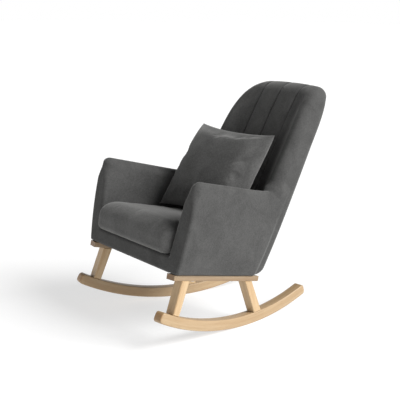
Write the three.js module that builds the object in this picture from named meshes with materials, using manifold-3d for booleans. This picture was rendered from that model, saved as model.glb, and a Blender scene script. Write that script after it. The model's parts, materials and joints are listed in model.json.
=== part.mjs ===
// An upholstered rocking chair, in millimetres.
//
// The chair faces -Y, +Z is up, and "left" is the side of the sitter's left hand, +X. Everything is
// first laid out upright, in the chair's own frame: y = 0 is under the middle of the rockers' arc and
// z = 0 is the lowest point of that arc. The chair then rolls back by REST_LEAN to where it balances,
// and the whole group is moved so that the origin is on the floor, below the middle of the chair.
import * as THREE from "three";
import { mergeVertices } from "three/addons/utils/BufferGeometryUtils.js";
import Module from "manifold-3d";

const wasm = await Module();
wasm.setup();

const DEG = Math.PI / 180;
const GAP = 0.3; // between pieces that touch
const REST_LEAN = 12 * DEG;

// Side frames: rocker, two legs and a bearer, all of one stock width
const STOCK = 44;
const EDGE = 2.5; // bevel on the show timber
const ROCKER_RADIUS = 1110; // to the underside
const ROCKER_DEPTH = 44;
const ROCKER_FRONT = -15.8; // degrees along the arc, forwards of its lowest point
const ROCKER_REAR = 30.3;
const ROCKER_FLATS = { first: -14, step: 4 }; // degrees: where the flats of the arc meet
const ROCKER_TAIL = 14; // rounding of the rear end
const SIDE_SPREAD = 257; // from the middle to a side frame's outer face, where the rocker touches
const TOE_IN = 7.5 * DEG;
const BEARER = { front: -270, rear: 228, bottom: 208, top: 230 };
const FRONT_LEG = { topFront: -223, topRear: -183, footFront: -242, footRear: -208 };
const REAR_LEG = { topFront: 145, topRear: 190, footFront: 238, footRear: 281 };
const BOLT_X = 30; // in from the outer face
const BOLT_Y = { front: -140, rear: 90 };
const DOWEL_RADIUS = 5;

// Seat
const SEAT_BOTTOM = 232;
const SEAT_SPREAD = 279; // from the middle to an arm's outer face, at y = 0
const SEAT_TAPER = 7.3 * DEG; // each arm's outer face closes in by this angle towards the rear
const FRONT_Y = -268;
const RAIL_TOP = 291;
const RAIL_THICK = 25;
const RAIL_INSET = 20; // foam outside the timber
const ARM_HOLLOW = { outer: 3, inner: 32, front: -200, rear: 80, top: 440 }; // inside each arm
const DECK_TOP = 296;
const SPRINGS = 4;

// Arms: from FRONT_Y to ARM_REAR_Y. Both faces lean outwards, most at the front.
const ARM_REAR_Y = 240;
const ARM_TOP = { front: 600, rear: 591, fillet: 36 };
const ARM_INNER = { front: 255, rear: 200, lean: 0.15 };
const ARM_OUTER = { front: 325, rear: 258, swell: 30, swellZ: 480, swellReach: 250 };
const ARM_ROUND = { top: 34, side: 24, front: 14 };
const ARM_RAIL = { x: 275.5, taper: 10 * DEG, low: 535, high: 560 };

// Back, in its own frame: d runs from its front surface to the rear, h runs up the slope
const RECLINE = 16.2 * DEG;
const BACK_Y = 72; // of the front surface, carried down to z = 0
const BACK_DEPTH = 97;
const WING = 45; // how far the side wings stand forward
const BACK_TOP = 1119;
const POST_DEPTH = [33, 58];
const BACK_WEBS = 4;

// Cushions
const SEAT_CUSHION = { front: -306, rear: 150, middle: 357, top: 427 };
const SCATTER = { thick: 170, rim: 4, pull: 0.05 };
const SCATTER_CORNERS = {
  top: { right: [-262, 190, 822], left: [222, 196, 827] },
  bottom: { right: [-222, -8, 446], left: [208, 80, 446] },
};

const SIDES = [
  { side: "left", sign: 1 },
  { side: "right", sign: -1 },
];

const velvet = new THREE.MeshStandardMaterial({ color: 0x5c5c5a, roughness: 0.9, metalness: 0 });
const oak = new THREE.MeshStandardMaterial({ color: 0xd8b88a, roughness: 0.55, metalness: 0 });
const pine = new THREE.MeshStandardMaterial({ color: 0xcdb58c, roughness: 0.8, metalness: 0 });
const steel = new THREE.MeshStandardMaterial({ color: 0xb9bcc0, roughness: 0.35, metalness: 1 });
const webbing = new THREE.MeshStandardMaterial({ color: 0x2c2c2c, roughness: 0.95, metalness: 0 });

// ---------- outlines and extrusions ----------

// A closed outline from corners [a, b, setback]: a setback rounds its corner.
function outline(corners) {
  const shape = new THREE.Shape();
  corners.forEach(([a, b, setback = 0], i) => {
    const corner = new THREE.Vector2(a, b);
    const start = stepTowards(corner, corners.at(i - 1), setback);
    const end = stepTowards(corner, corners[(i + 1) % corners.length], setback);
    if (i === 0) shape.moveTo(start.x, start.y);
    else shape.lineTo(start.x, start.y);
    if (setback > 0) shape.quadraticCurveTo(a, b, end.x, end.y);
  });
  shape.closePath();
  return shape;
}

function stepTowards(corner, [a, b], distance) {
  const way = new THREE.Vector2(a, b).sub(corner).normalize();
  return corner.clone().addScaledVector(way, distance);
}

function extruded(shape, depth, { bevel = 0, segments = 5 } = {}) {
  const geometry = new THREE.ExtrudeGeometry(shape, {
    depth: depth - 2 * bevel,
    bevelEnabled: bevel > 0,
    bevelThickness: bevel,
    bevelSize: bevel,
    bevelOffset: -bevel,
    bevelSegments: 1,
    curveSegments: segments,
  });
  return geometry.translate(0, 0, bevel);
}

// An outline in (y, z), extruded along X from x0 to x1.
function acrossX(shape, x0, x1, options) {
  const turn = new THREE.Matrix4().makeBasis(
    new THREE.Vector3(0, 1, 0),
    new THREE.Vector3(0, 0, 1),
    new THREE.Vector3(1, 0, 0),
  );
  const low = Math.min(x0, x1);
  return extruded(shape, Math.abs(x1 - x0), options).applyMatrix4(turn).translate(low, 0, 0);
}

// An outline in (x, z), extruded along Y from y0 to y1.
function acrossY(shape, y0, y1, options) {
  return extruded(shape, y1 - y0, options)
    .applyMatrix4(new THREE.Matrix4().makeRotationX(90 * DEG))
    .translate(0, y1, 0);
}

// An outline in (x, y), extruded along Z from z0 to z1.
function acrossZ(shape, z0, z1, options) {
  return extruded(shape, z1 - z0, options).translate(0, 0, z0);
}

// A box from three [low, high] ranges, grown on every side.
function block([x0, x1], [y0, y1], [z0, z1], grow = 0) {
  const size = [Math.abs(x1 - x0), y1 - y0, z1 - z0].map((length) => length + 2 * grow);
  return new THREE.BoxGeometry(...size).translate((x0 + x1) / 2, (y0 + y1) / 2, (z0 + z1) / 2);
}

// A rod along Z.
function rod(radius, x, y, z0, z1, sides = 12) {
  return new THREE.CylinderGeometry(radius, radius, z1 - z0, sides)
    .rotateX(90 * DEG)
    .translate(x, y, (z0 + z1) / 2);
}

// ---------- solids ----------

function solid(geometry) {
  const bare = geometry.clone();
  bare.deleteAttribute("normal");
  bare.deleteAttribute("uv");
  const merged = mergeVertices(bare, 1e-3);
  const vertProperties = merged.attributes.position.array;
  const triVerts = new Uint32Array(merged.index.array);
  return new wasm.Manifold(new wasm.Mesh({ numProp: 3, vertProperties, triVerts }));
}

function geometryOf(made) {
  const mesh = made.getMesh();
  const geometry = new THREE.BufferGeometry();
  geometry.setAttribute("position", new THREE.BufferAttribute(mesh.vertProperties, 3));
  geometry.setIndex(new THREE.BufferAttribute(mesh.triVerts, 1));
  const flat = geometry.toNonIndexed();
  flat.computeVertexNormals();
  return flat;
}

function common(...geometries) {
  return geometryOf(geometries.map(solid).reduce((a, b) => a.intersect(b)));
}

function cut(geometry, ...tools) {
  return geometryOf(tools.map(solid).reduce((a, b) => a.subtract(b), solid(geometry)));
}

// ---------- frames ----------

function group(parent) {
  const made = new THREE.Group();
  parent.add(made);
  return made;
}

function addMesh(parent, name, geometry, material) {
  const mesh = new THREE.Mesh(geometry, material);
  mesh.name = name;
  parent.add(mesh);
  return mesh;
}

// A copy of a geometry, carried from one group's frame into another's.
function carried(geometry, from, to) {
  from.updateWorldMatrix(true, false);
  to.updateWorldMatrix(true, false);
  const matrix = to.matrixWorld.clone().invert().multiply(from.matrixWorld);
  return geometry.clone().applyMatrix4(matrix);
}

// A group in which the upright chair is rolled back on its rockers.
function leaned(parent) {
  const centre = group(parent);
  centre.position.z = ROCKER_RADIUS;
  centre.rotation.x = -REST_LEAN;
  const made = group(centre);
  made.position.z = -ROCKER_RADIUS;
  return made;
}

const chair = new THREE.Group();
const seat = leaned(chair);
const back = group(seat);
back.position.y = BACK_Y;
back.rotation.x = -RECLINE;

// ---------- side frames ----------

function rockerPoint(radius, degrees) {
  return [radius * Math.sin(degrees * DEG), ROCKER_RADIUS - radius * Math.cos(degrees * DEG)];
}

function rockerTop(y) {
  return ROCKER_RADIUS - Math.sqrt((ROCKER_RADIUS - ROCKER_DEPTH) ** 2 - y ** 2);
}

function rockerOutline() {
  const stops = [ROCKER_FRONT];
  for (let at = ROCKER_FLATS.first; at < ROCKER_REAR - 2; at += ROCKER_FLATS.step) stops.push(at);
  const line = (radius) => [
    ...stops.map((degrees) => rockerPoint(radius, degrees)),
    [...rockerPoint(radius, ROCKER_REAR), ROCKER_TAIL],
  ];
  return outline([...line(ROCKER_RADIUS), ...line(ROCKER_RADIUS - ROCKER_DEPTH).reverse()]);
}

function legOutline({ topFront, topRear, footFront, footRear }) {
  const foot = 2 * GAP;
  return outline([
    [footFront, rockerTop(footFront) + foot],
    [footRear, rockerTop(footRear) + foot],
    [topRear, BEARER.bottom - GAP],
    [topFront, BEARER.bottom - GAP],
  ]);
}

// The two dowels of a leg: up into the bearer, and down into the rocker.
function legDowels(leg, x, slack = 0) {
  const topY = (leg.topFront + leg.topRear) / 2;
  const footY = (leg.footFront + leg.footRear) / 2;
  const footZ = rockerTop(footY);
  const radius = DOWEL_RADIUS + slack;
  return {
    top: rod(radius, x, topY, BEARER.bottom - 15 - slack, BEARER.bottom + 14 + slack),
    foot: rod(radius, x, footY, footZ - 20 - slack, footZ + 18 + slack),
  };
}

// A bolt under the bearer, its head at the bottom, with the shank up in the seat rail.
function bearerBolt(x, y) {
  const head = BEARER.bottom - 2;
  const profile = [
    [0, head - 5],
    [7, head - 5],
    [7, head],
    [4, head],
    [4, head + 58],
    [0, head + 58],
  ].map(([r, z]) => new THREE.Vector2(r, z));
  return new THREE.LatheGeometry(profile, 12).rotateX(90 * DEG).translate(x, y, 0);
}

function boltWasher(x, y) {
  const ring = new THREE.Shape().absarc(x, y, 10, 0, 2 * Math.PI);
  ring.holes.push(new THREE.Path().absarc(x, y, 4.4, 0, 2 * Math.PI));
  const top = BEARER.bottom - GAP;
  return acrossZ(ring, top - 1.4, top, { segments: 8 });
}

function sideFrame({ side, sign }) {
  const plane = group(chair);
  plane.position.x = sign * SIDE_SPREAD;
  plane.rotation.z = sign * TOE_IN;
  const frame = leaned(plane);
  const width = [0, -sign * STOCK];
  const dowelX = (-sign * STOCK) / 2;
  const legs = { front: FRONT_LEG, rear: REAR_LEG };
  const holes = Object.values(legs).map((leg) => legDowels(leg, dowelX, GAP));
  const boltHoles = Object.values(BOLT_Y).map((y) =>
    rod(4.5, -sign * BOLT_X, y, BEARER.bottom - 10, BEARER.top + 10),
  );

  const rocker = acrossX(rockerOutline(), ...width, { bevel: EDGE });
  addMesh(frame, `rocker_${side}`, cut(rocker, ...holes.map((hole) => hole.foot)), oak);

  const { front, rear, bottom, top } = BEARER;
  const bar = outline([[front, bottom], [rear, bottom, 6], [rear, top], [front, top]]);
  const bearer = acrossX(bar, ...width, { bevel: 1.5 });
  const bearerHoles = [...holes.map((hole) => hole.top), ...boltHoles];
  addMesh(frame, `bearer_${side}`, cut(bearer, ...bearerHoles), oak);

  Object.entries(legs).forEach(([end, leg], i) => {
    const post = acrossX(legOutline(leg), ...width, { bevel: EDGE });
    addMesh(frame, `leg_${end}_${side}`, cut(post, holes[i].top, holes[i].foot), oak);
    const dowels = legDowels(leg, dowelX);
    addMesh(frame, `bearer_dowel_${end}_${side}`, dowels.top, pine);
    addMesh(frame, `rocker_dowel_${end}_${side}`, dowels.foot, pine);
    const y = BOLT_Y[end];
    addMesh(frame, `bearer_bolt_${end}_${side}`, bearerBolt(-sign * BOLT_X, y), steel);
    addMesh(frame, `bolt_washer_${end}_${side}`, boltWasher(-sign * BOLT_X, y), steel);
  });
  return frame;
}

// ---------- hidden frame of the seat, arms and back ----------

// A hidden timber in its group's frame. Its pocket, slightly larger, is cut into the padding.
function timber(parent, name, make, holes = []) {
  const whole = make(0);
  addMesh(parent, name, holes.length ? cut(whole, ...holes) : whole, pine);
  return carried(make(2 * GAP), parent, seat);
}

function armFrame({ side, sign }, sideGroup) {
  const arm = group(seat);
  arm.position.x = sign * SEAT_SPREAD;
  arm.rotation.z = sign * SEAT_TAPER;
  const top = group(seat);
  top.position.x = sign * ARM_RAIL.x;
  top.rotation.z = sign * ARM_RAIL.taper;
  const width = [-sign * RAIL_INSET, -sign * (RAIL_INSET + RAIL_THICK)];
  const boltHoles = Object.values(BOLT_Y).map((y) =>
    carried(rod(4.7, -sign * BOLT_X, y, BEARER.top, BEARER.top + 40), sideGroup, arm),
  );
  const half = RAIL_THICK / 2;
  const rail = (grow) => block(width, [-252, 176], [SEAT_BOTTOM, RAIL_TOP], grow);
  const armRail = (grow) => block([-half, half], [-245, 250], [ARM_RAIL.low, ARM_RAIL.high], grow);
  const { outer, inner, front, rear, top: hollowTop } = ARM_HOLLOW;
  const hollow = block([-sign * outer, -sign * inner], [front, rear], [RAIL_TOP, hollowTop]);
  return [
    carried(hollow, arm, seat),
    timber(arm, `side_seat_rail_${side}`, rail, boltHoles),
    timber(seat, `arm_post_${side}`, (grow) => armPost(sign, grow)),
    timber(top, `arm_rail_${side}`, armRail),
  ];
}

// An arm post leans outwards, from the seat rail up to the arm rail.
function armPost(sign, grow) {
  const half = RAIL_THICK / 2 + grow;
  const [foot, head] = [275.7, 315.8];
  const [low, high] = [RAIL_TOP + GAP - grow, ARM_RAIL.low - GAP + grow];
  const shape = outline([
    [sign * (foot - half), low],
    [sign * (foot + half), low],
    [sign * (head + half), high],
    [sign * (head - half), high],
  ]);
  return acrossY(shape, -245 - grow, -210 + grow);
}

// A back post leans inwards going up.
function backPost(sign, grow) {
  const [inFoot, outFoot, inTop, outTop] = [186 - grow, 214 + grow, 142 - grow, 170 + grow];
  const [low, high] = [300 - grow, 1050 + grow];
  const shape = outline([
    [sign * inFoot, low],
    [sign * outFoot, low],
    [sign * outTop, high],
    [sign * inTop, high],
  ]);
  return acrossY(shape, POST_DEPTH[0] - grow, POST_DEPTH[1] + grow);
}

function backFrame() {
  const depth = [POST_DEPTH[0] + 1, POST_DEPTH[1] - 1];
  const rearRail = (grow) => block([-212, 212], depth, [259, 300 - GAP], grow);
  const lumbarRail = (grow) => block([-175, 175], depth, [440, 480], grow);
  const topRail = (grow) => block([-165, 165], depth, [1050 + GAP, 1080], grow);
  const pockets = SIDES.map(({ side, sign }) =>
    timber(back, `back_post_${side}`, (grow) => backPost(sign, grow)),
  );
  pockets.push(timber(back, "rear_seat_rail", rearRail));
  pockets.push(timber(back, "lumbar_rail", lumbarRail));
  pockets.push(timber(back, "back_top_rail", topRail));
  for (let i = 0; i < BACK_WEBS; i += 1) pockets.push(backWeb(i));
  return pockets;
}

// A webbing band across the front of the back posts.
function backWeb(i) {
  const low = 560 + 115 * i;
  const face = POST_DEPTH[0] - GAP;
  const band = (grow) => block([-170, 170], [face - 2, face], [low, low + 50], grow);
  addMesh(back, `back_web_${i + 1}`, band(0), webbing);
  return carried(band(GAP), back, seat);
}

function frontRail() {
  const rail = (grow) => block([-261, 261], [-252, -227], [SEAT_BOTTOM, RAIL_TOP], grow);
  return timber(seat, "front_seat_rail", rail);
}

// ---------- springs, deck and dust cover ----------

// A zigzag spring wire from the front rail to the rear rail.
function seatSpring(i) {
  const x = (i - (SPRINGS - 1) / 2) * 88;
  const [front, rear, bends, swing] = [-224, 190, 9, 20];
  const points = [];
  for (let step = 0; step <= 4 * bends; step += 1) {
    const y = front + ((rear - front) * step) / (4 * bends);
    points.push(new THREE.Vector3(x + swing * Math.sin((step * Math.PI) / 2), y, 282));
  }
  const wire = new THREE.Shape().absarc(0, 0, 1.9, 0, 2 * Math.PI);
  const geometry = new THREE.ExtrudeGeometry(wire, {
    steps: 54,
    curveSegments: 3,
    extrudePath: new THREE.CatmullRomCurve3(points),
  });
  addMesh(seat, `seat_spring_${i + 1}`, geometry, steel);
}

// The seat's plan between y0 and y1, held in from the outer faces.
function seatPlan(y0, y1, inset, setback = 0) {
  const half = (y) => SEAT_SPREAD - y * Math.tan(SEAT_TAPER) - inset;
  return outline([
    [-half(y0), y0, setback],
    [half(y0), y0, setback],
    [half(y1), y1, setback],
    [-half(y1), y1, setback],
  ]);
}

function seatDeck() {
  const deck = acrossZ(seatPlan(-224, 172, 88), RAIL_TOP, DECK_TOP - 1);
  addMesh(seat, "seat_deck", deck, webbing);
}

function dustCover() {
  const cover = acrossZ(seatPlan(-258, 198, 48), SEAT_BOTTOM - 2.3, SEAT_BOTTOM - 0.8);
  addMesh(seat, "dust_cover", cover, webbing);
}

// ---------- padding ----------

// How far forward the wings stand at a height, in the upright frame.
function wingY(z) {
  return BACK_Y + z * Math.tan(RECLINE) - WING / Math.cos(RECLINE);
}

function between(a, b, share) {
  return a + (b - a) * share;
}

// A box whose vertices are moved: place gives [x, y, z] from shares 0 to 1 along each axis.
function warpedBox([nx, ny, nz], place) {
  const geometry = new THREE.BoxGeometry(1, 1, 1, nx, ny, nz);
  const vertices = geometry.attributes.position;
  for (let i = 0; i < vertices.count; i += 1) {
    const shares = [vertices.getX(i), vertices.getY(i), vertices.getZ(i)].map((a) => a + 0.5);
    vertices.setXYZ(i, ...place(...shares));
  }
  return geometry;
}

// The fall of a quarter-round edge, at a share of the way across its radius.
function roundOff(share) {
  return 1 - Math.sqrt(1 - Math.min(Math.max(share, 0), 1) ** 2);
}

function armInner(y, z) {
  const along = (y - FRONT_Y) / (ARM_REAR_Y - FRONT_Y);
  const { front, rear, lean } = ARM_INNER;
  return between(front, rear, along) + lean * (1 - along) * (z - DECK_TOP);
}

function armOuter(y, z) {
  const along = (y - FRONT_Y) / (ARM_REAR_Y - FRONT_Y);
  const { front, rear, swell, swellZ, swellReach } = ARM_OUTER;
  const full = 1 - ((z - swellZ) / swellReach) ** 2;
  return between(front, rear, along) + swell * between(1, 0.35, along) * full;
}

// The arm's crest: a slight fall to the rear, then a hollow sweep up the wing.
function armCrest(y) {
  const wing = wingY(ARM_TOP.rear) - GAP;
  const along = (y - FRONT_Y) / (wing - FRONT_Y);
  const sweep = roundOff((y - wing + ARM_TOP.fillet) / ARM_TOP.fillet);
  return between(ARM_TOP.front, ARM_TOP.rear, along) + ARM_TOP.fillet * sweep;
}

function armPad({ side, sign }, pockets) {
  const columns = [0, 0.1, 0.3, 0.5, 0.7, 0.9, 1];
  const rows = [0, 0.25, 0.5, 0.7, 0.85, 0.92, 0.96, 0.985, 1];
  const steps = [0, 0.03, 0.1, 0.3, 0.5, 0.7, 0.84, 0.88, 0.92, 0.96, 1];
  const pick = (list, share) => list[Math.round(share * (list.length - 1))];
  const wing = wingY(ARM_TOP.rear) - GAP;
  const place = (a, b, c) => {
    const [across, up, far] = [pick(columns, a), pick(rows, c), pick(steps, b)];
    const edge = Math.abs(2 * across - 1) ** 4;
    const flatY = between(FRONT_Y, wing, far);
    const z = between(SEAT_BOTTOM, armCrest(flatY) - ARM_ROUND.side * edge * up, up);
    const fall = ARM_ROUND.top * roundOff((z - armCrest(FRONT_Y)) / ARM_ROUND.top + 1);
    const front = FRONT_Y + fall + ARM_ROUND.front * edge;
    const y = between(front, wing + (z - ARM_TOP.rear) * Math.tan(RECLINE), far);
    return [sign * between(armInner(y, z), armOuter(y, z), sign > 0 ? across : 1 - across), y, z];
  };
  const pad = warpedBox([columns, steps, rows].map((list) => list.length - 1), place);
  addMesh(seat, `arm_pad_${side}`, cut(pad, ...pockets), velvet);
}

// The padding over the front rail, between the arms.
function frontPad(pockets) {
  const half = armInner(FRONT_Y, SEAT_BOTTOM) - 4;
  const [z0, z1] = [SEAT_BOTTOM, RAIL_TOP + 4];
  const profile = outline([[FRONT_Y, z0, 8], [-226, z0], [-226, z1], [FRONT_Y, z1, 12]]);
  const pad = acrossX(profile, -half, half);
  addMesh(seat, "front_pad", cut(pad, ...pockets), velvet);
}

// The back seen from the front: upright sides, sloping shoulders and a rounded crest.
function backOutline() {
  const half = [
    [262, 150],
    [258, 600, 60],
    [257, 830, 60],
    [236, 975, 50],
    [203, 1072, 32],
    [150, 1111, 30],
    [60, BACK_TOP, 28],
  ];
  const other = half.map(([x, h, setback]) => [-x, h, setback]).reverse();
  return outline([...half, ...other]);
}

// The back seen from above: wings stand forward at the sides.
function backPlan() {
  const half = [
    [140, 0, 30],
    [205, -WING, 20],
    [263, -WING, 12],
    [256, BACK_DEPTH, 26],
  ];
  const other = half.map(([x, d, setback]) => [-x, d, setback]).reverse();
  return outline([...half, ...other]);
}

// The wings' front edge falls back to the front surface near the crest.
function backSide() {
  return outline([
    [-WING, 150],
    [BACK_DEPTH, 150],
    [BACK_DEPTH, BACK_TOP, 30],
    [0, BACK_TOP - 4, 62],
    [-2, 1040, 14],
    [-WING, 830, 60],
  ]);
}

function backBody() {
  const body = common(
    acrossY(backOutline(), -WING - 5, BACK_DEPTH + 5),
    acrossZ(backPlan(), 100, BACK_TOP + 10),
    acrossX(backSide(), -300, 300),
  );
  return carried(body, back, seat);
}

// The back's rear surface at a height, in the upright frame.
function backRearY(z) {
  return BACK_Y + z * Math.tan(RECLINE) + BACK_DEPTH / Math.cos(RECLINE);
}

function backPad(body, pockets) {
  const high = BACK_TOP + 50;
  const profile = outline([
    [0, SEAT_BOTTOM],
    [backRearY(SEAT_BOTTOM), SEAT_BOTTOM, 38],
    [backRearY(high), high],
    [0, high],
  ]);
  const pad = common(body, acrossX(profile, -300, 300));
  const springRoom = block([-192, 192], [0, 206], [0, DECK_TOP + 3]);
  addMesh(seat, "back_pad", cut(pad, springRoom, ...pockets), velvet);
}

// ---------- loose cushions ----------

// Its rear follows the front of the back and its wings.
function seatCushion(body) {
  const { front, rear, middle, top } = SEAT_CUSHION;
  const slope = Math.tan(RECLINE);
  const bottom = DECK_TOP;
  const profile = outline([
    [front + 28, bottom, 12],
    [front - 4, middle, 36],
    [front + 24, top, 34],
    [rear + (top - bottom) * slope, top, 16],
    [rear, bottom, 10],
  ]);
  const frontHalf = armInner(FRONT_Y, DECK_TOP) - 2;
  const rearHalf = armInner(rear + 60, DECK_TOP) - 3;
  const plan = outline([
    [-frontHalf, front - 10, 40],
    [frontHalf, front - 10, 40],
    [rearHalf, rear + 60, 20],
    [-rearHalf, rear + 60, 20],
  ]);
  const cushion = common(acrossX(profile, -300, 300), acrossZ(plan, 200, 500));
  addMesh(seat, "seat_cushion", cut(cushion, body.clone().translate(0, -1, 0)), velvet);
}

// A square pillow: full in the middle, thin at its seam, its sides pulled in between the corners.
function pillow({ thick, rim, pull }, { top, bottom }) {
  const corner = (point) => new THREE.Vector3(...point);
  const across = corner(top.left).sub(corner(top.right));
  const up = corner(top.right).sub(corner(bottom.right));
  const front = across.cross(up).normalize();
  return warpedBox([10, 10, 1], (a, b, c) => {
    const [u, v, w] = [a, b, c].map((share) => 2 * share - 1);
    const fullness = Math.max((1 - u * u) * (1 - v * v), 0) ** 0.45;
    const [s, t] = [u * (1 - pull * (1 - v * v)), v * (1 - pull * (1 - u * u))];
    const low = corner(bottom.right).lerp(corner(bottom.left), (s + 1) / 2);
    const high = corner(top.right).lerp(corner(top.left), (s + 1) / 2);
    const depth = w * (rim + (thick / 2 - rim) * fullness);
    return low.lerp(high, (t + 1) / 2).addScaledVector(front, depth).toArray();
  });
}

function scatterCushion() {
  addMesh(seat, "scatter_cushion", pillow(SCATTER, SCATTER_CORNERS), velvet);
}

// ---------- assembly ----------

const sideGroups = SIDES.map(sideFrame);
const armPockets = SIDES.map((entry, i) => armFrame(entry, sideGroups[i]));
const pockets = [...backFrame(), frontRail(), ...armPockets.flat()];
for (let i = 0; i < SPRINGS; i += 1) seatSpring(i);
seatDeck();
dustCover();
SIDES.forEach((entry) => armPad(entry, pockets));
frontPad(pockets);
const body = backBody();
backPad(body, pockets);
seatCushion(body);
scatterCushion();

// The origin: on the floor, below the middle of the chair.
const box = new THREE.Box3().setFromObject(chair, true);
const middle = box.getCenter(new THREE.Vector3());
chair.position.set(-middle.x, -middle.y, -box.min.z);

export default chair;
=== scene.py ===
"""The looks of an upholstered rocking chair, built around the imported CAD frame. Metres, +Z up.

Upholstery is laid out in the chair's own upright frame, as in the CAD part: x to the sitter's
left, -y forwards, z = 0 at the lowest point of the rockers' arc. to_row() rolls a point back by
REST_LEAN, into the row's frame.
"""

import json
import math

import bpy
import numpy as np
from mathutils import Matrix, Vector


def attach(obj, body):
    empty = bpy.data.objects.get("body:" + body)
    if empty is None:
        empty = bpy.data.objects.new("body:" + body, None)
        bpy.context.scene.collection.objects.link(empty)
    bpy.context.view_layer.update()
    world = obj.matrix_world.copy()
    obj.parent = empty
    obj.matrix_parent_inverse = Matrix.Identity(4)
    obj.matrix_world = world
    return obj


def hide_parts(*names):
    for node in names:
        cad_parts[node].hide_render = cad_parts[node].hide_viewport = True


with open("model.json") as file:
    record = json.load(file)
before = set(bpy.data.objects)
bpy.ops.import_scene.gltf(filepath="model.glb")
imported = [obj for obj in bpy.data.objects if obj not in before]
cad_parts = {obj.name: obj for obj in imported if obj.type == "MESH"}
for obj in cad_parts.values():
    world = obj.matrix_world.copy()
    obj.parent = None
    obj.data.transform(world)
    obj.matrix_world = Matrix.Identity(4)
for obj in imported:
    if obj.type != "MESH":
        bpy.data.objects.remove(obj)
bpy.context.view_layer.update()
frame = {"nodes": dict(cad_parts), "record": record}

REST_LEAN = math.radians(12)
ROCKER_RADIUS = 1.110
ROCKER_DEPTH = 0.044
ROCKER_FRONT = math.radians(-16.1)  # the ends of the rockers' arc, from its lowest point
ROCKER_REAR = math.radians(30.9)
ROCKER_CAP = 0.016  # length of a rocker's rounded end
STOCK = 0.044  # thickness of the side frames' timber
SIDE_SPREAD = 0.257
TOE_IN = math.radians(7.5)
ROOT_SHIFT = np.array([0.0, 0.0370927, -0.0006762])  # to the row's origin, after the lean

RECLINE = math.radians(16.2)
BACK_Y = 0.072
SEAT_BOTTOM = 0.232
DECK_TOP = 0.296
CELL = 0.0045  # spacing of the upholstery's vertices


# ---------- frames ----------


def lean(p):
    """Points turned by the rest lean about the centre of the rockers' arc."""
    z = p[..., 2] - ROCKER_RADIUS
    c, s = math.cos(REST_LEAN), math.sin(REST_LEAN)
    return np.stack([p[..., 0], p[..., 1] * c + z * s, z * c - p[..., 1] * s + ROCKER_RADIUS], -1)


def to_row(points):
    """Points in the chair's upright frame, (n, 3), carried into the row's frame."""
    return lean(np.asarray(points, dtype=float)) + ROOT_SHIFT


def mesh_object(name, vertices, faces, smooth=True):
    mesh = bpy.data.meshes.new(name)
    corners = [tuple(map(int, face)) for face in faces]
    mesh.from_pydata([tuple(vertex) for vertex in np.asarray(vertices)], [], corners)
    mesh.update()
    piece = bpy.data.objects.new(name, mesh)
    bpy.context.scene.collection.objects.link(piece)
    mesh.polygons.foreach_set("use_smooth", [smooth] * len(mesh.polygons))
    return piece


# ---------- implicit shapes ----------


def meet(a, b, radius):
    """The inside of both a and b, their shared edge rounded to a radius."""
    a, b = a + radius, b + radius
    outer = np.sqrt(np.maximum(a, 0) ** 2 + np.maximum(b, 0) ** 2)
    return outer + np.minimum(np.maximum(a, b), 0) - radius


def join(a, b, radius):
    """The inside of either a or b, the valley between them filled to a radius."""
    return -meet(-a, -b, radius)


def ease(low, high, value):
    t = np.clip((value - low) / (high - low), 0, 1)
    return t * t * (3 - 2 * t)


def lerp(a, b, t):
    return a + (b - a) * t


def surface_net(field, low, high, cell):
    """(vertices, quads) of the zero level of a field over a box, one vertex in each crossed cell."""
    counts = [int(math.ceil((b - a) / cell)) + 1 for a, b in zip(low, high)]
    axes = [a + cell * np.arange(n) for a, n in zip(low, counts)]
    x, y, z = np.meshgrid(*axes, indexing="ij", sparse=True)
    values = np.broadcast_to(field(x, y, z), counts).astype(np.float32)
    inside = values < 0
    corner = [(i, j, k) for i in (0, 1) for j in (0, 1) for k in (0, 1)]
    shape = [n - 1 for n in counts]

    def part(grid, offset):
        i, j, k = offset
        return grid[i : i + shape[0], j : j + shape[1], k : k + shape[2]]

    full = sum(part(inside, c).astype(np.int8) for c in corner)
    active = (full > 0) & (full < 8)
    cells = np.argwhere(active)
    index = -np.ones(shape, dtype=np.int64)
    index[active] = np.arange(len(cells))
    total = np.zeros((len(cells), 3))
    hits = np.zeros(len(cells))
    for axis in range(3):
        for c in corner:
            if c[axis]:
                continue
            d = tuple(v + (1 if n == axis else 0) for n, v in enumerate(c))
            a = values[tuple((cells + c).T)]
            b = values[tuple((cells + d).T)]
            cross = (a < 0) != (b < 0)
            share = np.where(cross, a / np.where(cross, a - b, 1), 0)
            point = np.array(c, dtype=float) + share[:, None] * np.eye(3)[axis]
            total += point * cross[:, None]
            hits += cross
    vertices = (cells + total / hits[:, None]) * cell + np.array(low)
    quads = []
    for axis in range(3):
        u, v = (axis + 1) % 3, (axis + 2) % 3
        span = [slice(1, n - 1) for n in counts]
        span[axis] = slice(0, counts[axis] - 1)
        ahead = list(span)
        ahead[axis] = slice(1, counts[axis])
        start, end = inside[tuple(span)], inside[tuple(ahead)]
        found = np.argwhere(start != end)
        leaving = start[tuple(found.T)]
        base = found + [0 if n == axis else 1 for n in range(3)]
        ring = []
        for du, dv in ((-1, -1), (0, -1), (0, 0), (-1, 0)):
            at = base.copy()
            at[:, u] += du
            at[:, v] += dv
            ring.append(index[tuple(at.T)])
        ring = np.stack(ring, 1)
        ring[~leaving] = ring[~leaving][:, ::-1]
        quads.append(ring)
    return vertices, np.concatenate(quads)


def settle(field, vertices, steps=3, reach=0.004):
    """Vertices moved onto the zero level of a field, along its slope."""
    step = 0.0005
    flattest = 0.2  # least square of a slope that a move is worked out from
    p = vertices.copy()
    for _ in range(steps):
        value = field(*p.T)
        rise = [field(*(p + d).T) - field(*(p - d).T) for d in np.eye(3) * step]
        slope = np.stack(rise, 1) / (2 * step)
        size = np.maximum((slope**2).sum(1), flattest)
        p -= np.clip(value / size, -reach, reach)[:, None] * slope
    return p


# ---------- the shell: arms, back and front panel in one skin ----------

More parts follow.
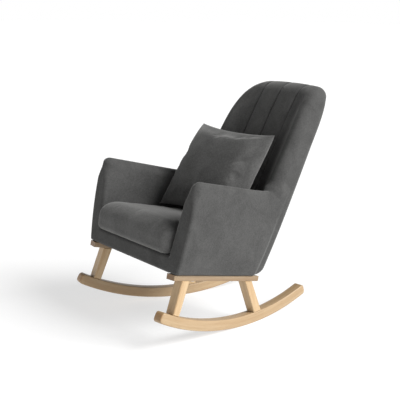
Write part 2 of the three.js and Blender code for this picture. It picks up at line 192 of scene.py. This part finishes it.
# Half width of the back at each height
BACK_HEIGHTS = [0.10, 0.45, 0.60, 0.70, 0.80, 0.875, 0.95, 1.00, 1.04, 1.08]
BACK_WIDTHS = [0.262, 0.262, 0.261, 0.260, 0.256, 0.248, 0.233, 0.217, 0.198, 0.172]
BACK_WIDTH_CURVE = np.polynomial.Polynomial.fit(BACK_HEIGHTS, BACK_WIDTHS, 5)
BACK_THICK = 0.097
BACK_CREST = 1.074
WING = 0.044  # how far the sides of the back stand forward of its middle
CHANNEL = 0.112  # between the sewn channels of the back
CHANNEL_DEPTH = 0.0065
CHANNEL_WIDTH = 0.0045
PUFF = 0.006  # how far the padding swells between two channels
REAR_SEAM_DEPTH = 0.0022
REAR_SEAM_WIDTH = 0.003

FRONT_Y = -0.268  # front face of the arms, and of the panel between them
ARM_RUN = 0.508  # length of the arms, front to rear
ARM_INNER = (0.255, 0.200)  # half width between the arms, front and rear
ARM_OUTER = (0.325, 0.258)  # half width over the arms, front and rear
ARM_SWELL = 0.030  # how far the arms' outer faces bulge
ARM_CREST = 0.599
ARM_TILT = 0.20  # how much the arm tops rise outwards
PANEL_HALF = 0.285
PANEL_REAR = -0.222


def back_line(z):
    """Where the back's front surface stands at a height, before it bends rearwards."""
    return BACK_Y + z * math.tan(RECLINE)


def back_depth(y, z):
    """Depth into the back, square to its front surface."""
    bend = 0.30 * np.maximum(z - 0.86, 0) ** 2
    return (y - BACK_Y - bend) * math.cos(RECLINE) - z * math.sin(RECLINE)


def back_half(z):
    return BACK_WIDTH_CURVE(np.clip(z, BACK_HEIGHTS[0], BACK_HEIGHTS[-1]))


def arm_inner(y, z):
    """Half width between the arms, which flare upwards most at the front."""
    along = (y - FRONT_Y) / ARM_RUN
    return lerp(*ARM_INNER, along) + 0.15 * (1 - along) * (z - DECK_TOP)


def arm_outer(y, z):
    """Half width over the arms: fullest half way up, and run into the back's sides."""
    along = (y - FRONT_Y) / ARM_RUN
    full = 1 - ((z - 0.48) / 0.25) ** 2
    free = lerp(*ARM_OUTER, along) + ARM_SWELL * lerp(1, 0.55, along) * full
    return lerp(free, BACK_WIDTHS[0] - 0.0005, ease(0.18, 0.34, y))


def arm_crest(y):
    """Height of the arm tops: a slight fall rearwards, then a sweep up into the back."""
    fall = 0.010 * np.clip((y - FRONT_Y) / 0.35, 0, 1)
    return ARM_CREST - fall + 1.7 * np.maximum(y - 0.17, 0) ** 2


def arm_field(x, y, z):
    inner, outer = arm_inner(y, z), arm_outer(y, z)
    top = z - arm_crest(y) - ARM_TILT * (x - (inner + outer) / 2)
    body = np.maximum(meet(inner - x, top, 0.030), meet(x - outer, top, 0.022))
    body = meet(body, FRONT_Y - y, 0.014 + 0.022 * ease(0.50, 0.57, z))
    body = meet(body, y - (back_line(z) + 0.068), 0.030)
    return meet(body, SEAT_BOTTOM - z, 0.008)


def back_field(x, y, z):
    depth = back_depth(y, z)
    low = 1 - ease(0.30, 0.85, z)
    rear = depth - (BACK_THICK + 0.010 * ease(0.78, 1.0, z) + 0.009 * low - 0.12 * x**2)
    wing = WING * ease(0.142, 0.240, x) * (1 - ease(0.99, 1.12, z))
    between = 1 - np.abs(x % CHANNEL / (CHANNEL / 2) - 1) ** 2.5
    puff = PUFF * between * (x < CHANNEL) * ease(0.40, 0.6, z)
    body = meet(x - back_half(z), z - (BACK_CREST - 0.20 * x**2), 0.040)
    body = meet(body, meet(rear, SEAT_BOTTOM - z, 0.038), 0.034 - 0.010 * low)
    return meet(body, -wing - puff - depth, 0.050)


def panel_field(x, y, z):
    """The padded rail across the front, under the seat cushion."""
    body = np.maximum(x - PANEL_HALF, y - PANEL_REAR)
    body = meet(body, z - (DECK_TOP - 0.002), 0.012)
    body = meet(body, FRONT_Y - y, 0.014)
    return meet(body, SEAT_BOTTOM - z, 0.008)


def channel_groove(x, y, z):
    """Depth of the three sewn channels down the front of the back."""
    near = sum(np.exp(-(((x - line) / CHANNEL_WIDTH) ** 2)) for line in (0, CHANNEL))
    front = 1 - ease(0.045, 0.075, back_depth(y, z))
    return CHANNEL_DEPTH * near * front * ease(0.3, 0.35, z)


def rear_seam(x, y, z):
    """The sewn outline of the rear panel, a little in from the edges of the rear face."""
    line = np.maximum(np.maximum(x - back_half(z) + 0.030, z - 1.035), 0.262 - z)
    rear = ease(0.07, 0.085, back_depth(y, z))
    return REAR_SEAM_DEPTH * np.exp(-((line / REAR_SEAM_WIDTH) ** 2)) * rear


def shell_field(x, y, z):
    """Both arms, the back and the panel; the arm tops sweep into the back in a wide valley."""
    x = np.abs(x)
    arm = np.minimum(arm_field(x, y, z), panel_field(x, y, z))
    valley = 0.005 + 0.050 * ease(0.56, 0.61, z) * (1 - ease(0.24, 0.31, y))
    body = join(arm, back_field(x, y, z), valley)
    return body + channel_groove(x, y, z) + rear_seam(x, y, z)


def make_shell():
    low, high = (-0.375, -0.285, 0.222), (0.375, 0.510, 1.100)
    vertices, quads = surface_net(shell_field, low, high, CELL)
    vertices = settle(shell_field, vertices)
    return mesh_object("upholstered_shell", to_row(vertices), quads)


# ---------- cushions ----------


SEAT_TOP = 0.417
SEAT_FRONT = -0.286
SEAT_CELL = 0.007
SEAT_MIDDLE = 0.352  # height at which the front bulges most


def seat_cushion_field(x, y, z):
    x = np.abs(x)
    side = x - (arm_inner(y, 0.32) - 0.003)
    crown = 0.012 * (1 - (x / 0.25) ** 2) * (1 - ((y + 0.08) / 0.26) ** 2)
    bulge = 0.020 * (1 - ((z - SEAT_MIDDLE) / 0.075) ** 2)
    front = SEAT_FRONT - bulge * (1 - 0.3 * (x / 0.25) ** 4) - y
    rear = y - (back_line(z) - 0.050 * ease(0.13, 0.205, x) - 0.003)
    body = meet(front, z - (SEAT_TOP + crown), 0.050)
    body = meet(body, DECK_TOP + 0.001 - z, 0.020)
    body = meet(body, side, 0.034)
    return meet(body, rear, 0.020)


def inflate(piece, pressure, caps, frames=20):
    """Cloth under pressure, each point's movement held to its cap."""
    scene = bpy.context.scene
    mesh = piece.data
    start = np.zeros(len(mesh.vertices) * 3)
    mesh.vertices.foreach_get("co", start)
    start = start.reshape(-1, 3)
    cloth = piece.modifiers.new("inflate", "CLOTH")
    cloth.settings.quality = 6
    cloth.settings.use_pressure = True
    cloth.settings.uniform_pressure_force = pressure
    cloth.settings.tension_stiffness = 12
    cloth.settings.compression_stiffness = 12
    cloth.settings.bending_stiffness = 0.3
    cloth.settings.effector_weights.gravity = 0
    cloth.collision_settings.use_collision = False
    cloth.collision_settings.use_self_collision = False
    cloth.point_cache.frame_end = frames
    for number in range(1, frames + 1):
        scene.frame_set(number)
    blown = piece.evaluated_get(bpy.context.evaluated_depsgraph_get()).data
    end = np.zeros(len(start) * 3)
    blown.vertices.foreach_get("co", end)
    move = end.reshape(-1, 3) - start
    size = np.maximum(np.linalg.norm(move, axis=1), 1e-9)
    move *= np.minimum(1, caps / size)[:, None]
    piece.modifiers.remove(cloth)
    mesh.vertices.foreach_set("co", (start + move).ravel())
    mesh.update()
    scene.frame_set(1)


def soften(piece):
    piece.modifiers.new("soften", "SUBSURF").render_levels = 1


def make_seat_cushion():
    low, high = (-0.27, -0.335, 0.285), (0.27, 0.235, 0.445)
    vertices, quads = surface_net(seat_cushion_field, low, high, SEAT_CELL)
    vertices = settle(seat_cushion_field, vertices)
    piece = mesh_object("seat_cushion_cover", to_row(vertices), quads)
    x, y, z = vertices.T
    free = ease(0.30, 0.34, z) * (1 - ease(0.05, 0.15, y))
    free = free * (1 - 0.8 * ease(0.2, 0.25, np.abs(x)))
    inflate(piece, 4.0, 0.0005 + 0.006 * free)
    soften(piece)
    return piece


# Corners of the leaning pillow, which is turned a little and sags to one side
SCATTER_CORNERS = {
    "top_right": (-0.262, 0.190, 0.822),
    "top_left": (0.222, 0.196, 0.827),
    "bottom_right": (-0.222, -0.010, 0.434),
    "bottom_left": (0.208, 0.078, 0.434),
}
SCATTER_THICK = 0.140
SCATTER_STEPS = 72


def make_scatter_cushion():
    """Two sheets sewn along a rim that pulls in between the corners."""
    n = SCATTER_STEPS
    u, v = np.meshgrid(np.linspace(-1, 1, n + 1), np.linspace(-1, 1, n + 1), indexing="ij")
    corner = {key: np.array(value) for key, value in SCATTER_CORNERS.items()}
    across = corner["top_left"] - corner["top_right"]
    up = corner["top_right"] - corner["bottom_right"]
    front = np.cross(across, up)
    front *= -np.sign(front[1]) / np.linalg.norm(front)
    a = (u * (1 - 0.05 * (1 - v * v)) + 1)[..., None] / 2
    b = (v * (1 - 0.08 * (1 - u * u)) + 1)[..., None] / 2
    low = lerp(corner["bottom_right"], corner["bottom_left"], a)
    high = lerp(corner["top_right"], corner["top_left"], a)
    full = np.maximum((1 - u * u) * (1 - v * v), 0) ** 0.42
    offset = front * (SCATTER_THICK / 2 * full)[..., None]
    sheets = [lerp(low, high, b) + side * offset for side in (1, -1)]
    index = np.arange((n + 1) ** 2).reshape(n + 1, n + 1)
    rim = (np.abs(u) > 0.999) | (np.abs(v) > 0.999)
    other = np.where(rim, index, index + index.size)
    faces = []
    for grid, turn in ((index, 1), (other, -1)):
        ring = [grid[:-1, :-1], grid[1:, :-1], grid[1:, 1:], grid[:-1, 1:]][::turn]
        faces.append(np.stack(ring, -1).reshape(-1, 4))
    faces = np.concatenate(faces)
    used = np.unique(faces)
    renumber = -np.ones(2 * index.size, dtype=int)
    renumber[used] = np.arange(len(used))
    vertices = np.concatenate([sheet.reshape(-1, 3) for sheet in sheets])[used]
    piece = mesh_object("scatter_cushion_cover", to_row(vertices), renumber[faces])
    crease_rim(piece, renumber[index[rim]])
    edge = np.tile(np.maximum(np.abs(u), np.abs(v)).reshape(-1), 2)[used]
    inflate(piece, 5.0, 0.004 + 0.018 * (1 - edge**6))
    soften(piece)
    return piece


def crease_rim(piece, rim):
    """Keep the edges between rim vertices sharp under subdivision."""
    mesh = piece.data
    ends = np.zeros(len(mesh.edges) * 2, dtype=int)
    mesh.edges.foreach_get("vertices", ends)
    on_rim = np.zeros(len(mesh.vertices), dtype=bool)
    on_rim[rim] = True
    crease = mesh.attributes.new("crease_edge", "FLOAT", "EDGE")
    crease.data.foreach_set("value", on_rim[ends.reshape(-1, 2)].all(1).astype(np.float32))


# ---------- rockers ----------


def rocker_section():
    """The rocker's cross-section as (across, rise): a rectangle with rounded edges."""
    half, depth, edge = STOCK / 2, ROCKER_DEPTH / 2, 0.004
    ring = []
    for cx, cz, start in ((1, 1, 0), (-1, 1, 90), (-1, -1, 180), (1, -1, 270)):
        for step in range(5):
            angle = math.radians(start + step * 22.5)
            across = cx * (half - edge) + edge * math.cos(angle)
            ring.append((across, cz * (depth - edge) + edge * math.sin(angle)))
    return ring


def rocker_stations():
    """(place along the arc, fullness of the section), from the front end to the rear one."""
    cap, length = ROCKER_CAP, (ROCKER_REAR - ROCKER_FRONT) * ROCKER_RADIUS
    turn = np.linspace(0, math.pi / 2, 9)
    stations = [(cap - cap * math.cos(t), math.sin(t)) for t in turn[:-1]]
    stations += [(s, 1.0) for s in np.linspace(cap, length - cap, 90)]
    stations += [(length - cap + cap * math.sin(t), math.cos(t)) for t in turn[1:]]
    return stations


def make_rocker(side, sign):
    """A bent rocker: its section swept along the arc, and both ends rounded."""
    ring, stations = rocker_section(), rocker_stations()
    vertices, grain, ends = [], [], []
    for along, share in stations:
        shrink = ROCKER_CAP * (1 - share)
        angle = ROCKER_FRONT + along / ROCKER_RADIUS
        for x, r in ring:
            across = np.sign(x) * max(abs(x) - shrink * 0.35, 0)
            rise = np.sign(r) * max(abs(r) - shrink, 0)
            radius = ROCKER_RADIUS - ROCKER_DEPTH / 2 - rise
            height = ROCKER_RADIUS - radius * math.cos(angle)
            vertices.append((across, radius * math.sin(angle), height))
            grain.append((across, rise, along))
            ends.append(1 - share)
    n, last = len(ring), len(stations) - 1
    faces = [
        (i * n + j, i * n + (j + 1) % n, (i + 1) * n + (j + 1) % n, (i + 1) * n + j)
        for i in range(last)
        for j in range(n)
    ]
    faces.append(tuple(range(n))[::-1])
    faces.append(tuple(range(last * n, (last + 1) * n)))
    p = np.array(vertices)
    p[:, 0] -= sign * STOCK / 2
    p = lean(p)
    c, s = math.cos(sign * TOE_IN), math.sin(sign * TOE_IN)
    p = np.stack([p[:, 0] * c - p[:, 1] * s, p[:, 0] * s + p[:, 1] * c, p[:, 2]], 1)
    p[:, 0] += sign * SIDE_SPREAD
    piece = mesh_object(f"rocker_{side}_bent", p + ROOT_SHIFT, faces)
    store_grain(piece.data, np.array(grain) + [0, 0, 0.7 if sign > 0 else 0])
    end = piece.data.attributes.new("end_grain", "FLOAT", "POINT")
    end.data.foreach_set("value", np.array(ends, dtype=np.float32))
    return piece


def store_grain(mesh, values):
    """Each vertex's place in the timber, the third axis along the grain."""
    attribute = mesh.attributes.new("grain", "FLOAT_VECTOR", "POINT")
    attribute.data.foreach_set("vector", np.asarray(values, dtype=np.float32).ravel())


# ---------- materials ----------


class Nodes:
    """Short names for making a material's nodes."""

    def __init__(self, name):
        self.material = bpy.data.materials.new(name)
        self.material.use_nodes = True
        self.tree = self.material.node_tree
        self.shader = self.tree.nodes["Principled BSDF"]

    def add(self, kind, inputs=None, **settings):
        node = self.tree.nodes.new(kind)
        for key, value in settings.items():
            setattr(node, key, value)
        for key, value in (inputs or {}).items():
            self.feed(node.inputs[key], value)
        return node

    def feed(self, socket, value):
        if isinstance(value, bpy.types.NodeSocket):
            self.tree.links.new(value, socket)
        else:
            socket.default_value = value

    def math(self, operation, a, b=0.0, c=0.0):
        node = self.add("ShaderNodeMath", operation=operation)
        for socket, value in zip(node.inputs, (a, b, c)):
            self.feed(socket, value)
        return node.outputs[0]

    def noise(self, vector, scale, detail=4.0, rough=0.55, distortion=0.0):
        inputs = {"Vector": vector, "Scale": scale, "Detail": detail, "Roughness": rough}
        inputs["Distortion"] = distortion
        return self.add("ShaderNodeTexNoise", inputs).outputs["Fac"]

    def ramp(self, value, stops):
        node = self.add("ShaderNodeValToRGB", {"Fac": value})
        ramp = node.color_ramp
        while len(ramp.elements) < len(stops):
            ramp.elements.new(0.5)
        for element, (at, colour) in zip(ramp.elements, stops):
            element.position = at
            element.color = (*colour, 1)
        return node.outputs["Color"]

    def mix(self, factor, a, b, blend="MIX"):
        node = self.add("ShaderNodeMix", data_type="RGBA", blend_type=blend)
        colours = [s for s in node.inputs if s.type == "RGBA"]
        self.feed(node.inputs[0], factor)
        self.feed(colours[0], a)
        self.feed(colours[1], b)
        return next(s for s in node.outputs if s.type == "RGBA")

    def mapped(self, vector, scale=(1, 1, 1), rotation=(0, 0, 0), place=(0, 0, 0)):
        inputs = {"Vector": vector, "Scale": scale, "Rotation": rotation, "Location": place}
        return self.add("ShaderNodeMapping", inputs).outputs["Vector"]

    def place(self):
        return self.add("ShaderNodeTexCoord").outputs["Object"]

    def bump(self, height, strength, distance):
        inputs = {"Height": height, "Strength": strength, "Distance": distance}
        normal = self.add("ShaderNodeBump", inputs).outputs["Normal"]
        self.feed(self.shader.inputs["Normal"], normal)

    def set(self, **values):
        for key, value in values.items():
            self.feed(self.shader.inputs[key.replace("_", " ")], value)


def velvet_material(name, tone_and_painted_light, seed):
    """Short-pile velvet: the nap lies in soft patches, over a fine even pile."""
    m = Nodes(name)
    place = m.mapped(m.place(), place=(seed, seed * 0.7, 0))
    patches = m.noise(place, 9.0, 5.0, 0.62, 0.8)
    mottle = m.noise(place, 150.0, 4.0, 0.7)
    pile = m.noise(place, 1400.0, 2.0, 0.7)
    weave = m.noise(m.mapped(place, scale=(1, 1, 0.25)), 700.0, 2.0, 0.6)
    # The tone sets the velvet's lightness; for the seat it also holds painted highlight
    base = m.ramp(patches, [(0.34, [tone_and_painted_light * 0.70] * 3), (0.66, [tone_and_painted_light * 1.32] * 3)])
    base = m.mix(0.32, base, m.ramp(mottle, [(0.36, [tone_and_painted_light * 0.3] * 3), (0.66, [tone_and_painted_light * 1.75] * 3)]))
    base = m.mix(0.30, base, m.ramp(pile, [(0.3, [tone_and_painted_light * 0.5] * 3), (0.7, [tone_and_painted_light * 1.5] * 3)]))
    warm = m.mix(1.0, base, (1.0, 0.995, 0.975, 1.0), "MULTIPLY")
    rough = m.math("MULTIPLY_ADD", mottle, 0.12, 0.84)
    height = m.math("ADD", m.math("MULTIPLY", pile, 0.6), m.math("MULTIPLY", weave, 0.5))
    m.bump(height, 0.35, 0.0008)
    m.set(Base_Color=warm, Roughness=rough)
    m.set(Sheen_Weight=0.30, Sheen_Roughness=0.40, Specular_IOR_Level=0.1)
    m.feed(m.shader.inputs["Sheen Tint"], (0.80, 0.80, 0.78, 1))
    return m.material


def wood_colour(m, grain, light, dark, pore):
    """(colour, streak, pores): the grain runs along the third axis of the vector."""
    stretched = m.mapped(grain, scale=(1, 1, 0.06))
    wander = m.noise(stretched, 9.0, 4.0, 0.55, 0.8)
    bands = m.math("FRACT", m.math("MULTIPLY", wander, 9.0))
    rings = m.math("MULTIPLY", m.math("PINGPONG", bands, 0.5), 2.0)
    streak = m.noise(m.mapped(grain, scale=(1, 1, 0.02)), 220.0, 3.0, 0.65)
    flecks = m.noise(m.mapped(grain, scale=(1, 1, 0.05)), 620.0, 2.0, 0.5)
    base = m.mix(m.math("MULTIPLY", rings, 0.50), light, dark)
    wide = m.noise(m.mapped(grain, scale=(1, 1, 0.03)), 70.0, 3.0, 0.6)
    wide = m.ramp(wide, [(0.42, [0.0] * 3), (0.68, [1.0] * 3)])
    base = m.mix(m.math("MULTIPLY", wide, 0.55), base, dark)
    base = m.mix(m.math("MULTIPLY", streak, 0.35), base, dark)
    lines = m.ramp(flecks, [(0.30, [1.0] * 3), (0.42, [0.0] * 3)])
    base = m.mix(m.math("MULTIPLY", lines, 0.35), base, pore)
    shade = m.ramp(m.noise(grain, 5.0, 2.0, 0.5), [(0.3, [0.90, 0.86, 0.80]), (0.7, [1.0] * 3)])
    base = m.mix(0.5, base, shade, "MULTIPLY")
    return base, streak, lines


# Light wood, dark wood and pores
OAK_COLOURS = (0.63, 0.475, 0.30, 1), (0.46, 0.295, 0.150, 1), (0.30, 0.17, 0.08, 1)
OAK_END_COLOURS = (0.50, 0.29, 0.13, 1), (0.34, 0.19, 0.08, 1)
PINE_COLOURS = (0.72, 0.55, 0.33, 1), (0.60, 0.40, 0.20, 1), (0.45, 0.28, 0.13, 1)


def oak_material(name, grain_of, end_share, tone_and_painted_light):
    """Light oak under satin lacquer; grain_of and end_share are functions of its nodes."""
    m = Nodes(name)
    grain = grain_of(m)
    base, streak, lines = wood_colour(m, grain, *OAK_COLOURS)
    rings = m.math("MULTIPLY", m.noise(grain, 160.0, 3.0), 0.8)
    end = m.mix(rings, *OAK_END_COLOURS)
    base = m.mix(end_share(m), base, end)
    rough = m.math("MULTIPLY_ADD", streak, 0.18, 0.36)
    m.bump(m.math("SUBTRACT", m.math("MULTIPLY", streak, 0.4), lines), 0.20, 0.0004)
    # Multiplied by the piece's tone, which for the bearers also holds painted shade
    base = m.mix(1.0, base, tone_and_painted_light, "MULTIPLY")
    m.set(Base_Color=base, Roughness=rough, Coat_Weight=0.12, Coat_Roughness=0.30)
    return m.material


def rocker_grain(m):
    return m.add("ShaderNodeAttribute", attribute_name="grain").outputs["Vector"]


def rocker_end(m):
    share = m.add("ShaderNodeAttribute", attribute_name="end_grain").outputs["Fac"]
    return m.ramp(share, [(0.15, [0.0] * 3), (0.6, [0.85] * 3)])


def facing_end(direction):
    """How far a face is an end-grain face, square to a direction."""

    def end_share(m):
        facing = m.add("ShaderNodeVectorMath", operation="DOT_PRODUCT")
        m.feed(facing.inputs[0], m.add("ShaderNodeNewGeometry").outputs["Normal"])
        m.feed(facing.inputs[1], direction)
        square = m.math("ABSOLUTE", facing.outputs["Value"])
        return m.ramp(square, [(0.72, [0.0] * 3), (0.95, [1.0] * 3)])

    return end_share


def turned_grain(direction, seed):
    """The place in an object, turned so that a direction is the third axis."""
    turn = Vector(direction).rotation_difference(Vector((0, 0, 1))).to_euler()

    def grain_of(m):
        return m.mapped(m.place(), rotation=tuple(turn), place=(seed, 0, seed * 0.3))

    return grain_of


def pine_material():
    """Bare sawn pine, as the hidden frame is made of."""
    m = Nodes("pine_bare")
    base, streak, _ = wood_colour(m, m.place(), *PINE_COLOURS)
    m.bump(streak, 0.4, 0.0006)
    m.set(Base_Color=base, Roughness=m.math("MULTIPLY_ADD", streak, 0.2, 0.65))
    return m.material


def steel_material():
    m = Nodes("steel_zinc")
    place = m.place()
    cloud = m.noise(place, 90.0, 4.0)
    scratch = m.noise(m.mapped(place, scale=(1, 1, 0.1)), 900.0, 2.0)
    m.bump(scratch, 0.15, 0.0002)
    base = m.ramp(cloud, [(0.3, [0.50, 0.51, 0.53]), (0.7, [0.68, 0.69, 0.70])])
    m.set(Base_Color=base, Roughness=m.math("MULTIPLY_ADD", scratch, 0.2, 0.28), Metallic=1.0)
    return m.material


def webbing_material():
    m = Nodes("webbing_woven")
    place = m.place()
    waves = [
        m.add(
            "ShaderNodeTexWave",
            {"Vector": place, "Scale": 160.0, "Distortion": 0.4},
            bands_direction=axis,
        ).outputs["Fac"]
        for axis in ("X", "Y")
    ]
    weave = m.math("MULTIPLY", *waves)
    m.bump(weave, 0.5, 0.0006)
    worn = m.noise(place, 30.0, 3.0)
    threads = m.ramp(weave, [(0.0, [0.012] * 3), (1.0, [0.05] * 3)])
    base = m.mix(worn, threads, (0.03, 0.03, 0.03, 1))
    m.set(Base_Color=base, Roughness=m.math("MULTIPLY_ADD", worn, 0.1, 0.85))
    return m.material


def paint(piece, material):
    piece.data.materials.clear()
    piece.data.materials.append(material)
    for entry in piece.material_slots:
        entry.material = material


# ---------- pieces ----------

SIDES = {"left": 1, "right": -1}
# The seat's velvet is lighter than the shell's: a painted highlight for the light on the cushion's
# top
SHELL_TONE, SEAT_TONE_AND_HIGHLIGHT, SCATTER_TONE = 0.061, 0.100, 0.082
ROCKER_TONE = (0.68, 0.67, 0.64, 1.0)
# The bearers are much darker than the legs: partly timber of another tone, partly painted shade
# under the seat's overhang
BEARER_TONE_AND_SHADE = (0.47, 0.46, 0.46, 1.0)
LEG_TONE = (0.85, 0.84, 0.80, 1.0)

shell = make_shell()
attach(shell, "chair")
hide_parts("arm_pad_left", "arm_pad_right", "front_pad", "back_pad")
paint(shell, velvet_material("velvet_shell", SHELL_TONE, 0.0))

seat_cushion = make_seat_cushion()
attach(seat_cushion, "seat_cushion")
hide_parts("seat_cushion")
paint(seat_cushion, velvet_material("velvet_seat", SEAT_TONE_AND_HIGHLIGHT, 3.0))

scatter = make_scatter_cushion()
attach(scatter, "scatter_cushion")
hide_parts("scatter_cushion")
paint(scatter, velvet_material("velvet_scatter", SCATTER_TONE, 6.0))

rocker_oak = oak_material("oak_rocker", rocker_grain, rocker_end, ROCKER_TONE)
for side, sign in SIDES.items():
    rocker = make_rocker(side, sign)
    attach(rocker, "chair")
    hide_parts(f"rocker_{side}")
    paint(rocker, rocker_oak)


def along_piece(y, z, sign):
    """A direction in a side frame's own plane, as a direction in the row's frame."""
    c, s = math.cos(REST_LEAN), math.sin(REST_LEAN)
    y, z = y * c + z * s, z * c - y * s
    return Vector((-y * math.sin(sign * TOE_IN), y * math.cos(TOE_IN), z)).normalized()


# Which way each kind of side frame piece runs, in the side frame's own plane, and its tone;
# the bearers' tone is darker partly as painted shade under the seat's overhang
GRAINS = {
    "leg_front": (0.022, 0.15, LEG_TONE),
    "leg_rear": (-0.095, 0.15, LEG_TONE),
    "bearer": (1.0, 0.0, BEARER_TONE_AND_SHADE),
}
SIDE_PIECES = {f"{kind}_{side}": (kind, sign) for kind in GRAINS for side, sign in SIDES.items()}
frame_looks = {"pine": pine_material(), "steel": steel_material(), "webbing": webbing_material()}
slots = {entry["node"]: entry["material_slot"] for entry in frame["record"]["subparts"]}
for number, (name, node) in enumerate(frame["nodes"].items()):
    if name in SIDE_PIECES:
        kind, sign = SIDE_PIECES[name]
        y, z, tone_and_painted_light = GRAINS[kind]
        direction = along_piece(y, z, sign)
        grain_of = turned_grain(direction, number * 0.37)
        paint(node, oak_material("oak_" + name, grain_of, facing_end(tuple(direction)), tone_and_painted_light))
    elif slots.get(name) in frame_looks:
        paint(node, frame_looks[slots[name]])

# ---------- stage ----------

FLOOR_HALF = 60
SKY_LEVEL = 0.10


def make_floor():
    """A pale, faintly glowing ground that reaches past the horizon of every view."""
    corners = [(x * FLOOR_HALF, y * FLOOR_HALF, 0) for x, y in ((-1, -1), (1, -1), (1, 1), (-1, 1))]
    floor = mesh_object("floor", corners, [(0, 1, 2, 3)], smooth=False)
    m = Nodes("floor_pale")
    grain = m.noise(m.place(), 40.0, 3.0)
    m.set(Base_Color=m.ramp(grain, [(0.2, [0.36] * 3), (0.8, [0.38] * 3)]), Roughness=0.9)
    m.set(Emission_Color=(1, 1, 1, 1), Emission_Strength=0.62)
    paint(floor, m.material)


def make_world():
    """Even grey-white light from above, and white around the horizon."""
    world = bpy.data.worlds.new("studio")
    world.use_nodes = True
    tree = world.node_tree
    place = tree.nodes.new("ShaderNodeTexCoord")
    split = tree.nodes.new("ShaderNodeSeparateXYZ")
    ramp = tree.nodes.new("ShaderNodeValToRGB")
    tree.links.new(place.outputs["Generated"], split.inputs[0])
    tree.links.new(split.outputs["Z"], ramp.inputs["Fac"])
    stops = ((0.28, 1.0), (0.50, SKY_LEVEL))
    for element, (at, level) in zip(ramp.color_ramp.elements, stops):
        element.position = at
        element.color = (level, level, level, 1)
    tree.links.new(ramp.outputs["Color"], tree.nodes["Background"].inputs["Color"])
    bpy.context.scene.world = world


def make_sun(name, towards, strength, spread):
    light = bpy.data.lights.new(name, "SUN")
    light.energy = strength
    light.angle = math.radians(spread)
    lamp = bpy.data.objects.new(name, light)
    lamp.rotation_euler = (-Vector(towards)).to_track_quat("-Z", "Y").to_euler()
    bpy.context.scene.collection.objects.link(lamp)


make_floor()
make_world()
make_sun("key", (1.0, 0.60, 0.90), 5.0, 40)
bpy.context.scene.view_settings.view_transform = "Standard"

AZIMUTH, ELEVATION, ROLL = math.radians(52.71), math.radians(12.41), math.radians(0.97)
LENS = 78.80
SENSOR_WIDTH = 36
CAMERA_PLACE = (2.9170, -2.2725, 1.3058)


def make_camera():
    data = bpy.data.cameras.new("camera")
    data.lens = LENS
    data.sensor_width = SENSOR_WIDTH
    camera = bpy.data.objects.new("camera", data)
    camera.location = CAMERA_PLACE
    level = math.cos(ELEVATION)
    forward = Vector((-math.sin(AZIMUTH) * level, math.cos(AZIMUTH) * level, -math.sin(ELEVATION)))
    turn = forward.to_track_quat("-Z", "Y").to_matrix() @ Matrix.Rotation(ROLL, 3, "Z")
    camera.rotation_euler = turn.to_euler()
    bpy.context.scene.collection.objects.link(camera)
    bpy.context.scene.camera = camera


make_camera()
